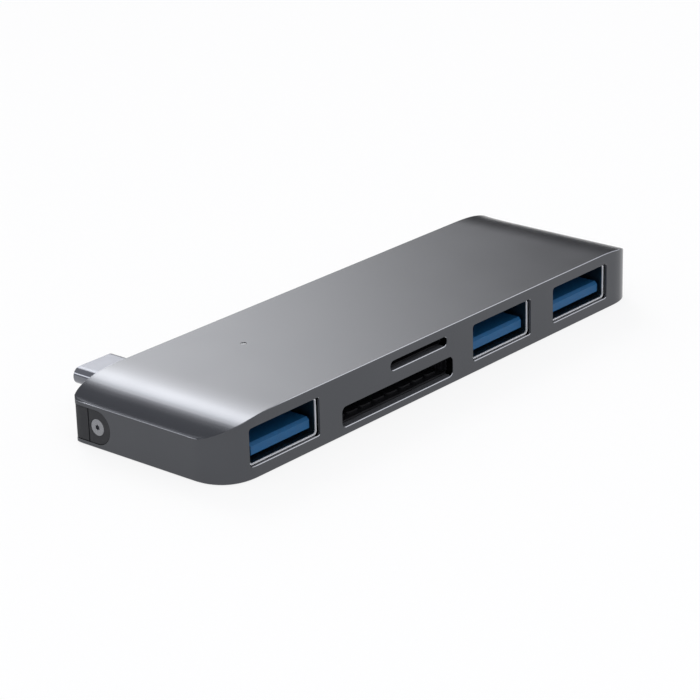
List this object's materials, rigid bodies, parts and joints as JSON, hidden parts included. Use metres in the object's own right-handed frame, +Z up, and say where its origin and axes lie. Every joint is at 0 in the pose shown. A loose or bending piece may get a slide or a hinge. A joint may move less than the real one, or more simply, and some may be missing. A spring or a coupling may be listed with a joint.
{
  "type": "usb hub",
  "caption": "Slim aluminium USB-C hub with a row of USB-A sockets and two card slots on one side, and a USB-C plug on a sliding carrier clamped by an end screw.",
  "frame": {"origin": "centre of the body footprint on its flat underside, leaving the plug out of the footprint", "axes": "+X along the body away from the plug end, +Y towards the plug face, +Z up; the ports face -Y"},
  "size_m": [0.0944, 0.0357, 0.009],
  "materials": {
    "grey_aluminium": "fine bead-blasted space-grey anodised aluminium",
    "base_plate": "matt grey painted plate",
    "green_board": "glass-fibre board with green solder mask",
    "steel_screw": "small machined steel fasteners",
    "black_plastic": "black moulded insulator",
    "socket_steel": "nickel-plated drawn sheet",
    "carrier_plastic": "dark grey satin carrier and clamp plate",
    "plug_steel": "satin nickel-plated plug shell",
    "gold": "gold-plated contacts",
    "blue_plastic": "blue moulded tongue",
    "flex_film": "amber polyimide ribbon",
    "ivory_plastic": "ivory ribbon connector",
    "chip_epoxy": "black epoxy chip package",
    "crystal_can": "plated crystal can",
    "capacitor_ceramic": "tan ceramic",
    "inductor_ferrite": "dark ferrite",
    "led_white": "white LED package",
    "clear_pipe": "clear acrylic light pipe"
  },
  "bodies": {
    "hub": {"housing": "grey_aluminium", "bottom_cover": "base_plate", "main_board": "green_board", "board_screws": "steel_screw", "usb_a_shell_1": "socket_steel", "usb_a_shell_2": "socket_steel", "usb_a_shell_3": "socket_steel", "usb_a_tongue_1": "blue_plastic", "usb_a_tongue_2": "blue_plastic", "usb_a_tongue_3": "blue_plastic", "usb_a_contacts_1": "gold", "usb_a_contacts_2": "gold", "usb_a_contacts_3": "gold", "sd_socket_base": "black_plastic", "sd_socket_shield": "socket_steel", "sd_contacts": "gold", "microsd_base": "black_plastic", "microsd_shield": "socket_steel", "microsd_contacts": "gold", "plug_flex": "flex_film", "flex_connector": "ivory_plastic", "lock_plate": "carrier_plastic", "clamp_nut": "steel_screw", "hub_chip": "chip_epoxy", "card_reader_chip": "chip_epoxy", "crystals": "crystal_can", "capacitors": "capacitor_ceramic", "inductors": "inductor_ferrite", "led": "led_white", "light_pipe": "clear_pipe"},
    "carrier": {"plug_carrier": "carrier_plastic", "usb_c_plug_shell": "plug_steel", "usb_c_plug_insert": "black_plastic", "usb_c_plug_contacts": "gold", "plug_board": "green_board"},
    "screw": {"lock_screw": "steel_screw"}
  },
  "joints": [
    {"name": "carrier_slide", "type": "slide", "parent": "hub", "child": "carrier", "axis": [0, 1, 0], "range_m": [0, 0.0025], "deforming": ["plug_flex"]},
    {"name": "lock_screw_turn", "type": "hinge", "parent": "hub", "child": "screw", "pos_m": [-0.0471, 0.0098, 0.0031], "axis": [-1, 0, 0], "range_deg": [0, 360]}
  ]
}
